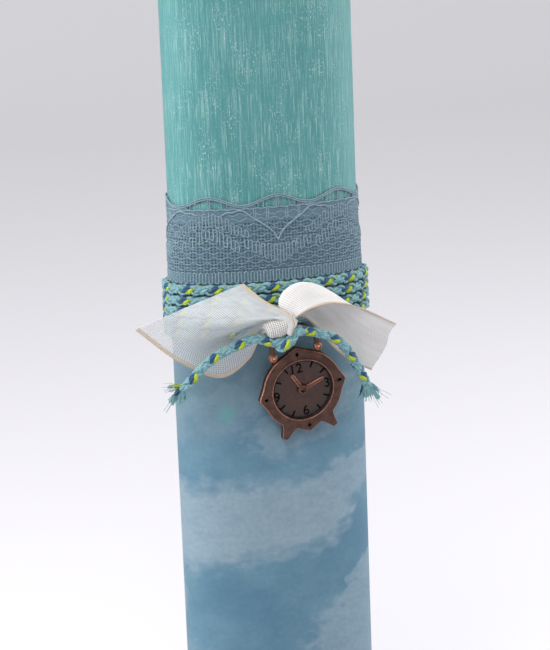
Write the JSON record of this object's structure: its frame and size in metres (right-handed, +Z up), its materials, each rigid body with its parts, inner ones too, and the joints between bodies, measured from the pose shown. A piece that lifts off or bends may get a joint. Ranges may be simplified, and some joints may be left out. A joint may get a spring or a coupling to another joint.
{
  "type": "decorated easter candle",
  "caption": "Flat oval pillar candle in a printed wrap with a lace band, wound cord, knotted gauze ribbon and a hanging clock charm.",
  "frame": {"origin": "centre of the candle's flat base", "axes": "+Z up along the candle to its wick, -Y towards the front with the bow and the charm, +X to the right seen from the front"},
  "size_m": [0.0684, 0.0409, 0.3104],
  "materials": {
    "wax": "satin wax with brushed streaks",
    "wick_cotton": "waxed cotton",
    "printed_wrap": "matt print of clouds",
    "lace": "soft lace",
    "cord": "braided cotton",
    "ribbon": "sheer gauze",
    "antique_copper": "antiqued copper plate"
  },
  "bodies": {
    "root": {"wax_body": "wax", "wick": "wick_cotton", "print_wrap": "printed_wrap", "lace_band": "lace", "cord_winding": "cord", "cord_knot": "cord", "cord_tail_left": "cord", "cord_tail_right": "cord", "ribbon_knot": "ribbon", "ribbon_tail_left": "ribbon", "ribbon_tail_right": "ribbon"},
    "charm_tie": {"bail_strand": "cord"},
    "charm": {"clock_charm": "antique_copper"}
  },
  "joints": [
    {"name": "charm_swing", "type": "hinge", "parent": "root", "child": "charm_tie", "pos_m": [0.0012, -0.0182, 0.1371], "axis": [0, 1, 0], "range_deg": [-4, 24]},
    {"name": "charm_lift", "type": "hinge", "parent": "charm_tie", "child": "charm", "pos_m": [0.00082, -0.01848, 0.1392], "axis": [-0.9842, 0, -0.1771], "range_deg": [0, 15]}
  ]
}
